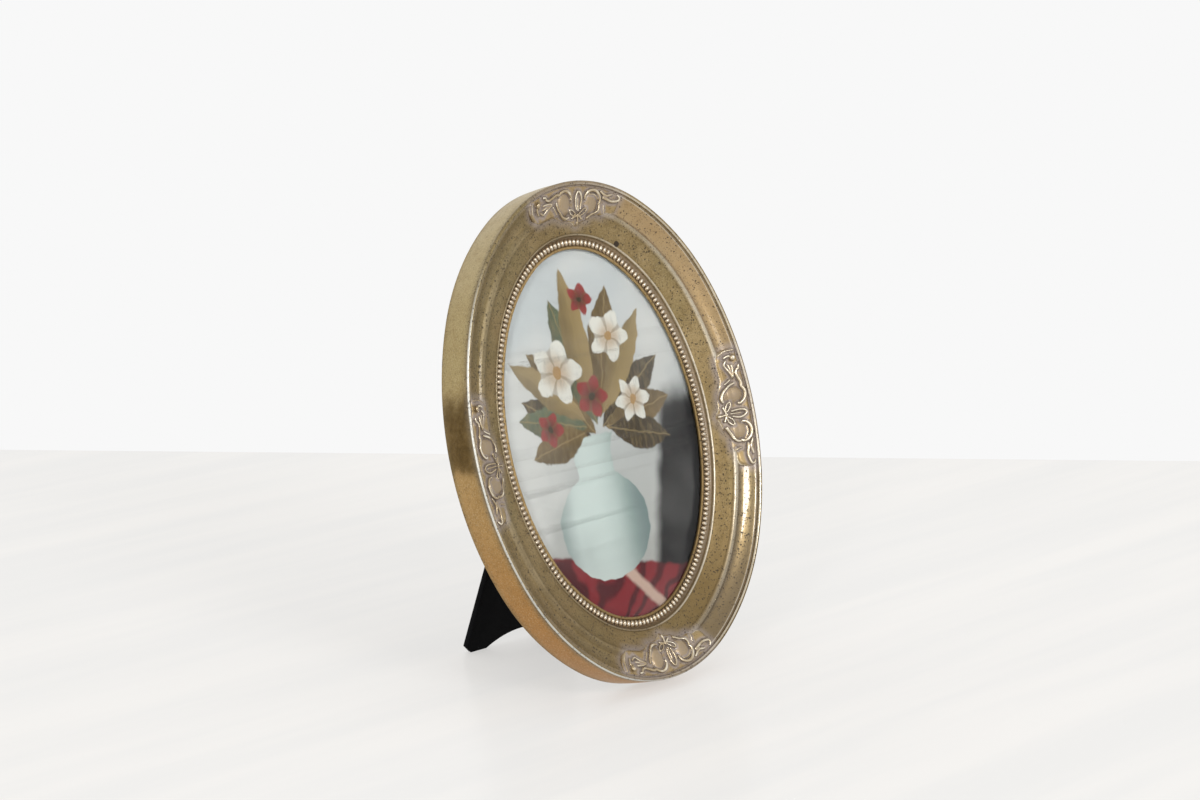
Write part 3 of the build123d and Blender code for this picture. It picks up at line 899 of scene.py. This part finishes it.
def bow(w, h, radius, start, end, count):
    # points of a round of the section: inset and height of its middle, radius, and angles from outward
    turns = [radians(start + (end - start) * number / count) for number in range(count + 1)]
    return [(w - radius * cos(turn), h + radius * sin(turn)) for turn in turns]


def sectionPoints():
    # from the rear edge up the wall, over the front and back through the rabbet
    wall = []
    for number in range(moulding["wallSteps"] + 1):
        share = number / moulding["wallSteps"]
        sag = 4 * moulding["wallSag"] * (share - 0.5) ** 2
        wall.append((sag, moulding["wallFoot"] + share * moulding["wallHeight"]))
    return [
        (0.75, 0),
        *wall,
        *bow(*moulding["rim"]),
        (2.05, 16.74), (2.25, 16.5), (2.55, 16.45), (2.8, 16.48),
        *moulding["cove"],
        *bow(*moulding["ridge"]),
        (14.45, 12.2), (17, 11.38), (20, 10.38), (22.35, 9.6),
        *bow(*moulding["fillet"]),
        (23.46, 8.9), (23.72, 8.2), (24.1, 7.55), (24.7, 7.15), (25.4, 7), (27.4, 7),
        (27.62, 7.2), (27.85, 7.52), (28.15, 7.68), (28.65, 7.7), (28.9, 7.56), (29, 7.3), (29, 6.65),
        (22.15, 6.65), (22.15, 0.35), (21.8, 0),
    ]


def insetsOf(points):
    # distance in from the outer oval, for points of the flat frame
    found = np.full(len(points), farAway)
    for x, y, radius, begin, sweep in arcs:
        across, along = points[:, 0] - x, points[:, 1] - y
        turn = np.degrees(np.arctan2(along, across)) - begin
        turn = np.mod(turn + 1, 360) - 1
        inset = radius - np.hypot(across, along)
        found = np.where(turn <= sweep + 0.01, np.where(turn >= -0.01, inset, found), found)
    return found


def makeMoulding():
    section = sectionPoints()
    x, y, radius, begin, sweep = rightArc
    out = Vector((cos(radians(begin)), sin(radians(begin)), 0))
    corners = [Vector((x, y, height)) + out * (radius - inset) for inset, height in section]
    profile = flatPolygon("mouldingSkin", section)
    writePoints(profile.data, np.array([tuple(corner) for corner in corners]))
    editAll(profile)
    bpy.ops.mesh.delete(type="ONLY_FACE")
    bpy.ops.mesh.select_all(action="SELECT")
    for x, y, radius, begin, sweep in arcs:
        steps = ceil(radians(sweep) * radius / moulding["facetLength"])
        bpy.ops.mesh.spin(steps=steps, angle=-radians(sweep), center=(x, y, 0), axis=(0, 0, 1))
    objectMode()
    return closeUp(profile, 1e-3)


# Ornaments: one casting, modelled flat with x along the rim, y = minus the inset and z the height over
# its pad. Each stroke is a line of (along, inset, lift, radius).
casting = {
    "padDepth": 3,
    "padMiddle": 6.5,
    "voxel": 0.225,
    "washReach": 2.3,
    "washFade": 1.2,
    "domeWash": 0.65,
    "domeFade": 6,
    "frontFrom": -1.5,
    "wireGrowth": 1.22,
    "wireLift": 0.2,
    "swellSteps": 14,
    "borderWidth": 1.7,
    "borderFall": 0.95,
    "outline": [
        (-25.2, 2.5), (-26, 5), (-26, 8.5), (-25, 11.6), (-22.6, 13.6), (-18, 14.1), (-13, 14.2),
        (-9.6, 14.9), (-6.6, 16.4), (-3, 17.3), (0.5, 17.7), (3, 19), (4.7, 19.8), (6.4, 18.8),
        (8.6, 17.9), (11.6, 17), (14.2, 15.2), (17, 14.2), (20.2, 14), (21.8, 13.2), (23.2, 12.1),
        (26.6, 11.6), (28.6, 10.2), (29.1, 7), (29, 4), (27.6, 2.5), (22, 2.35), (12, 2.3),
        (0, 2.3), (-12, 2.3), (-20, 2.35),
    ],
    "strokes": [
        # first C scroll with its stem from the bell
        [(-15.9, 4.7, 0.1, 0.42), (-14.9, 6.2, 0.25, 0.5), (-12, 5.7, 0.35, 0.55), (-9.2, 4.7, 0.4, 0.6),
         (-7.9, 5.3, 0.4, 0.6)],
        [(-8, 5.4, 0.4, 0.55), (-6.4, 4.3, 0.45, 0.6), (-4.4, 3.95, 0.45, 0.6), (-2.4, 4.6, 0.45, 0.58),
         (-0.9, 6, 0.4, 0.52), (0.1, 7.9, 0.3, 0.45), (-0.7, 8.4, 0.25, 0.55)],
        [(-9.9, 7.9, 0.3, 0.4), (-9.6, 10, 0.35, 0.45), (-8.8, 12.2, 0.4, 0.45), (-7.4, 14.2, 0.4, 0.48),
         (-5.4, 15.7, 0.35, 0.55), (-3.4, 16.2, 0.35, 0.62), (-1.8, 15.6, 0.25, 0.4)],
        [(-11.9, 9.3, 0.1, 0.27), (-11, 10.8, 0.15, 0.3), (-10.3, 13.2, 0.1, 0.3)],
        # bell flower: three ribs from its knot
        [(-12.9, 8.1, 0.45, 0.6), (-15.4, 7, 0.35, 0.42), (-18.4, 6.9, 0.2, 0.36)],
        [(-12.9, 8.1, 0.45, 0.6), (-15.6, 9.1, 0.3, 0.4), (-18.2, 10.3, 0.15, 0.34)],
        [(-13.2, 8.1, 0.4, 0.5), (-16.5, 8.2, 0.2, 0.5), (-19, 8.6, 0.1, 0.3)],
        [(-20.8, 8.9, 0.15, 0.36), (-19.7, 10.9, 0.2, 0.44), (-18.4, 10.4, 0.15, 0.34)],
        [(-17.5, 3.7, 0.15, 0.4), (-16, 3.8, 0.25, 0.5), (-15.6, 4.6, 0.15, 0.36)],
        # curl under the ball, and the raised end of the pad
        [(-22.5, 6.6, 0.35, 0.42), (-22.8, 8.2, 0.35, 0.45), (-22.3, 9.8, 0.2, 0.38)],
        [(-24.4, 3.4, 0, 0.24), (-25.2, 6.2, 0, 0.26), (-25.3, 9.2, -0.1, 0.24),
         (-24.3, 11.6, -0.15, 0.22)],
        # long leaf towards the rim, outlined, with its rib
        [(2.9, 12.9, 0.3, 0.36), (2.5, 9.6, 0.35, 0.4), (2.7, 6.6, 0.35, 0.4), (3.7, 4.7, 0.3, 0.4),
         (5.1, 5.3, 0.3, 0.4), (6.2, 7.5, 0.35, 0.42), (6.2, 10, 0.35, 0.4), (5.3, 12.6, 0.3, 0.36)],
        [(4.2, 7.6, 0.1, 0.22), (4.2, 10, 0.2, 0.3), (4.1, 13.4, 0.2, 0.3)],
        # two short leaves and the petals of the sprig
        [(2.9, 14.6, 0.4, 0.27), (0.7, 12.9, 0.4, 0.28), (-1.8, 12.2, 0.35, 0.28), (-1.2, 13.9, 0.3, 0.26),
         (0.9, 15.1, 0.3, 0.26), (3.2, 15.2, 0.3, 0.27)],
        [(5.2, 14.6, 0.4, 0.27), (7, 12.5, 0.4, 0.28), (9.6, 11.6, 0.35, 0.28), (9.5, 13.4, 0.3, 0.26),
         (7.7, 14.8, 0.3, 0.26), (5.4, 15.2, 0.3, 0.27)],
        [(3.6, 15.2, 0.3, 0.3), (1.8, 15.9, 0.3, 0.34), (0.2, 16.2, 0.25, 0.36)],
        [(4.8, 15.2, 0.3, 0.3), (6.4, 15.9, 0.3, 0.34), (7.7, 16.6, 0.25, 0.42)],
        [(4.2, 14.4, 0.4, 0.4), (4.3, 16.2, 0.35, 0.36), (4.6, 17.6, 0.3, 0.4)],
        # second C scroll with its inner line
        [(8.3, 8.2, 0.25, 0.42), (8.1, 6.6, 0.35, 0.5), (9.6, 4.9, 0.42, 0.55), (11.8, 4, 0.45, 0.6),
         (14.2, 4.3, 0.45, 0.6), (16.2, 5.6, 0.45, 0.58), (17.5, 7.6, 0.4, 0.5), (17.2, 9.4, 0.3, 0.5),
         (16.5, 9.3, 0.2, 0.4)],
        [(10.4, 6, 0.1, 0.26), (12.6, 5.6, 0.2, 0.32), (14.8, 6.3, 0.2, 0.34), (16.3, 7.5, 0.2, 0.3)],
        [(17.4, 9.8, 0.3, 0.42), (17.6, 11.6, 0.35, 0.5), (16.2, 13.4, 0.35, 0.46), (13.6, 14.4, 0.4, 0.48),
         (11.8, 15.6, 0.4, 0.55), (10.4, 16.3, 0.3, 0.6)],
        # tail: two lines that close on a point
        [(16.4, 3.9, 0.25, 0.36), (18.2, 4.8, 0.35, 0.44), (20.2, 5.6, 0.45, 0.6), (22, 4.6, 0.3, 0.42),
         (23.4, 4, 0.15, 0.32)],
        [(18.4, 6.4, 0.3, 0.42), (20.2, 6.5, 0.45, 0.62), (23.6, 7, 0.35, 0.5), (26.4, 6.2, 0.35, 0.48),
         (28.2, 5, 0.3, 0.46), (27.3, 3.6, 0.25, 0.42), (26.2, 3.2, 0.1, 0.3)],
        [(20.4, 9.4, 0, 0.26), (20.6, 10.8, 0, 0.26), (21.8, 12.6, -0.1, 0.26)],
    ],
    # along, inset, height of the middle, and radii along, across and up
    "domes": [
        (-4.6, 9.8, -0.2, 4, 5, 1.15),
        (12.2, 9.8, -0.2, 4.1, 4.6, 1.15),
        (-21.3, 5.5, 0.5, 1.35, 1.3, 1.3),
        (4.6, 18.3, 0.15, 0.8, 1, 0.75),
        (-16.4, 8.2, -0.1, 2.6, 1.3, 0.5),
        (23.8, 5.5, -0.2, 3, 0.9, 0.5),
        (4.3, 9.2, -0.2, 1.3, 3.4, 0.5),
        (-12.9, 8.1, 0.2, 0.8, 0.8, 0.75),
        (-3.6, 16, 0.1, 1.1, 0.7, 0.7),
        (11, 16.1, 0.1, 1.1, 0.75, 0.7),
    ],
    "padHeights": [(2.3, 17.15), (6.5, 15.5), (10.5, 14.3), (13, 13.95), (14.4, 13.05), (20, 11.2)],
}


def addStrokes():
    obj = added(bpy.ops.curve.primitive_nurbs_path_add, "strokes")
    curve = obj.data
    curve.splines.clear()
    for stroke in casting["strokes"]:
        spline = curve.splines.new("NURBS")
        spline.points.add(len(stroke) - 1)
        for point, (along, inset, lift, radius) in zip(spline.points, stroke):
            point.co = (along, -inset, lift + casting["wireLift"], 1.0)
            point.radius = radius * casting["wireGrowth"]
        spline.order_u = 3
        spline.use_endpoint_u = True
        spline.resolution_u = 8
    curve.dimensions = "3D"
    curve.bevel_depth = 1.0
    curve.bevel_resolution = 3
    curve.use_fill_caps = True
    pick(obj)
    bpy.ops.object.convert(target="MESH")
    return bpy.context.active_object


def addDome(along, inset, height, reach, width, rise):
    dome = added(bpy.ops.mesh.primitive_uv_sphere_add, "dome", segments=24, ring_count=14, radius=1)
    editAll(dome)
    bpy.ops.transform.resize(value=(reach, width, rise))
    bpy.ops.transform.translate(value=(along, -inset, height))
    objectMode()
    return dome


def nearestGap(points, line):
    # distance from each point to the nearest point of a line, a part of the points at a time
    partSize = 4000
    found = [
        np.sqrt(((part[:, None] - line[None]) ** 2).sum(2)).min(1)
        for part in np.array_split(points, 1 + len(points) // partSize)
    ]
    return np.concatenate(found)


def smoothedHeight(mesh, heights, steps):
    # heights after each point has taken its neighbours' mean a number of times
    ends = np.empty(len(mesh.edges) * 2, dtype=np.int64)
    mesh.edges.foreach_get("vertices", ends)
    a, b = ends.reshape(-1, 2).T
    count = len(heights)
    share = np.bincount(a, minlength=count) + np.bincount(b, minlength=count)
    for step in range(steps):
        total = np.bincount(a, heights[b], count) + np.bincount(b, heights[a], count)
        heights = total / share
    return heights


def makeCasting():
    outline = smoothLoop(casting["outline"], 5)
    pad = flatPolygon("pad", [(along, -inset) for along, inset in outline])
    thicken(pad, casting["padDepth"])
    closeUp(pad)
    domes = [addDome(*dome) for dome in casting["domes"]]
    whole = joinAll([pad, addStrokes(), *domes], "casting")
    addModifier(whole, "REMESH", mode="VOXEL", voxel_size=casting["voxel"])
    addModifier(whole, "SMOOTH", factor=0.5, iterations=2)
    points = readPoints(whole.data)
    setAttribute(whole.data, "relief", points[:, 2])
    smoothed = smoothedHeight(whole.data, points[:, 2], casting["swellSteps"])
    setAttribute(whole.data, "swell", points[:, 2] - smoothed)
    lines = np.concatenate([
        smoothLoop([(along, -inset) for along, inset, lift, radius in stroke], 4, closed=False)
        for stroke in casting["strokes"]
    ])
    gaps = nearestGap(points[:, :2], lines)
    wash = np.clip((casting["washReach"] - gaps) / casting["washFade"], 0, 1)
    for along, inset, height, reach, width, rise in casting["domes"][:2]:
        away = np.hypot((points[:, 0] - along) / reach, (points[:, 1] + inset) / width)
        wash = np.maximum(wash, np.clip((1 - away) * casting["domeFade"], 0, casting["domeWash"]))
    setAttribute(whole.data, "wash", wash)
    # the border of the pad's front is rounded off
    border = nearestGap(points[:, :2], np.array(smoothLoop(casting["outline"], 12)) * (1, -1))
    fall = casting["borderFall"] * (1 - np.clip(border / casting["borderWidth"], 0, 1)) ** 2
    points[:, 2] -= np.where(points[:, 2] > casting["frontFrom"], fall, 0)
    insets, heights = zip(*casting["padHeights"])
    points[:, 2] += np.interp(-points[:, 1], insets, heights)
    writePoints(whole.data, points)
    return whole


def setCasting(whole, arc, middle, mirrored):
    # bends a copy of the casting along an arc of the oval, its middle at the given angle
    obj = copied(whole)
    x, y, radius = arc[:3]
    points = readPoints(obj.data)
    along = -points[:, 0] if mirrored else points[:, 0]
    turn = radians(middle) - along / (radius - casting["padMiddle"])
    reach = radius + points[:, 1]
    writePoints(obj.data, np.stack([x + reach * np.cos(turn), y + reach * np.sin(turn), points[:, 2]], 1))
    if mirrored:
        obj.data.flip_normals()
    return obj


whole = makeCasting()
print("casting", len(whole.data.polygons), "faces")
ornamentSets = {
    "endOrnaments": ("end_ornaments", [(topArc, 90, False), (bottomArc, 270, True)]),
    "sideOrnaments": ("side_ornaments", [(rightArc, 0, False), (leftArc, 180, True)]),
}
padPlaces = []
for name, (node, places) in ornamentSets.items():
    pair = joinAll([setCasting(whole, *spot) for spot in places], name)
    place(pair, standUp)
    smoothShade(pair, 60)
    finishPiece(pair, "frame", "antique_gold", goldRelief, node)
    padPlaces += places
bpy.data.objects.remove(whole)


def washNear(points, insets):
    # how much of the grey wash a point of the moulding takes from the ornaments beside it
    wash = np.zeros(len(points))
    outline = np.array(smoothLoop(casting["outline"], 3))
    for (x, y, radius, begin, sweep), middle, mirrored in padPlaces:
        turn = np.arctan2(points[:, 1] - y, points[:, 0] - x) - radians(middle)
        turn = np.mod(turn + pi, 2 * pi) - pi
        along = -turn * (radius - casting["padMiddle"])
        if mirrored:
            along = -along
        spots = np.stack([along, insets], 1)
        gaps = np.full(len(points), farAway)
        near = (np.abs(along) < moulding["washSpan"]) & (points[:, 2] > moulding["frontHeight"])
        gaps[near] = nearestGap(spots[near], outline)
        wash = np.maximum(wash, np.clip(1 - gaps / moulding["washReach"], 0, 1))
    return wash


skin = makeMoulding()
flatPoints = readPoints(skin.data)
insets = insetsOf(flatPoints)
setAttribute(skin.data, "inset", insets)
setAttribute(skin.data, "rise", flatPoints[:, 2])
setAttribute(skin.data, "wash", washNear(flatPoints, insets))
place(skin, standUp)
smoothShade(skin, 40)
finishPiece(skin, "frame", "antique_gold", goldFace, "moulding")

# Bead row: one bead, copied a whole number of times along each arc
beads = {"inset": 25.95, "pitch": 2.3, "radius": 1.13, "stretch": 1.55, "middleHeight": 7.38, "cut": -0.38}


def makeBead():
    sphere = {"segments": 12, "ring_count": 8, "radius": beads["radius"]}
    bead = added(bpy.ops.mesh.primitive_uv_sphere_add, "bead", **sphere)
    editAll(bead)
    bpy.ops.transform.resize(value=(beads["stretch"], 1, 1))
    bpy.ops.mesh.bisect(plane_co=(0, 0, beads["cut"]), plane_no=(0, 0, 1), use_fill=True, clear_inner=True)
    closeUp(bead)
    setAttribute(bead.data, "rise", readPoints(bead.data)[:, 2] - beads["cut"])
    return bead


def makeBeadRow():
    bead = makeBead()
    row = []
    for x, y, radius, begin, sweep in arcs:
        reach = radius - beads["inset"]
        count = round(radians(sweep) * reach / beads["pitch"])
        for number in range(count):
            turn = radians(begin + sweep * (number + 0.5) / count)
            copy = copied(bead)
            spot = Vector((x + reach * cos(turn), y + reach * sin(turn), beads["middleHeight"]))
            copy.data.transform(Matrix.Translation(spot) @ Matrix.Rotation(turn, 4, "Z"))
            row.append(copy)
    bpy.data.objects.remove(bead)
    print(len(row), "beads")
    return joinAll(row, "beadRow")


row = makeBeadRow()
place(row, standUp)
smoothShade(row, 60)
finishPiece(row, "frame", "antique_gold", goldBead, "bead_row")

# Leg: one black covered board with softened edges, its feet cut level
leg = {
    "topHalf": 16,
    "footHalf": 33.5,
    "topGap": 3.2,
    "front": 1.6,
    "thickness": 2.6,
    "heelWidth": 3.6,
    "heelHeight": 3.4,
    "archHalf": 21.5,
    "archHeight": 6.3,
    "archSteps": 16,
    "round": 0.45,
    "overcut": 1,
    "clearance": 0.05,
}


def makeLeg():
    ground = -pinMiddle.z / mm / cos(legAngle)
    below = ground - leg["overcut"]
    heel = leg["footHalf"] - leg["heelWidth"]
    right = [
        (leg["topHalf"], -leg["topGap"]), (leg["footHalf"], ground + leg["heelHeight"]),
        (heel, ground), (heel, below),
    ]
    radius = (leg["archHalf"] ** 2 + leg["archHeight"] ** 2) / (2 * leg["archHeight"])
    half = atan2(leg["archHalf"], radius - leg["archHeight"])
    low = ground + leg["archHeight"] - radius
    turns = [half - 2 * half * number / leg["archSteps"] for number in range(leg["archSteps"] + 1)]
    arch = [(radius * sin(turn), low + radius * cos(turn)) for turn in turns]
    outline = right + [(leg["archHalf"], below)] + arch + [(-leg["archHalf"], below)]
    outline += [(-x, y) for x, y in reversed(right)]
    board = flatPolygon("legCover", outline)
    thicken(board, leg["thickness"])
    bpy.ops.mesh.select_all(action="SELECT")
    bpy.ops.transform.translate(value=(0, 0, leg["front"]))
    closeUp(board)
    place(board, legStand)
    editAll(board)
    # the feet are cut level, just over the table
    cut = (0, 0, leg["clearance"] * mm)
    bpy.ops.mesh.bisect(plane_co=cut, plane_no=(0, 0, 1), use_fill=True, clear_inner=True)
    closeUp(board, 1e-6)
    roundEdges(board, leg["round"], 3, 40)
    return smoothShade(board)


finishPiece(makeLeg(), "leg", "velour", velour, "leg_board", "leg_velour_front", "leg_velour_rear")

# Hinge leaves and turn buttons with rounded edges, then the nodes that stay as they are
hinge = {
    "leafRound": 0.2,
    "buttonRound": 0.25,
    "buttonSegments": 3,
    "leaves": {"hinge_board_leaf": ("hingeBoardLeaf", "frame"), "hinge_leg_leaf": ("hingeLegLeaf", "leg")},
}
for node, (name, body) in hinge["leaves"].items():
    finishPiece(softened(node, name, hinge["leafRound"]), body, "hinge_metal", steel, node)
for corner in ("upper_right", "upper_left", "lower_left", "lower_right"):
    node = "turn_button_" + corner
    body = body_of(frame["nodes"][node])[0]
    button = softened(node, "button_" + corner, hinge["buttonRound"], hinge["buttonSegments"])
    finishPiece(button, body, "hinge_metal", brass, node)

nodeFinishes = {
    "glass_pane": glassFinish, "print_insert": printed, "back_board": board, "back_velour": velour,
    "hinge_pin": steel, "board_rivets": steel, "leg_rivets": steel, "turn_button_screws": steel,
}
for node, finish in nodeFinishes.items():
    dress(frame["nodes"][node], finish)
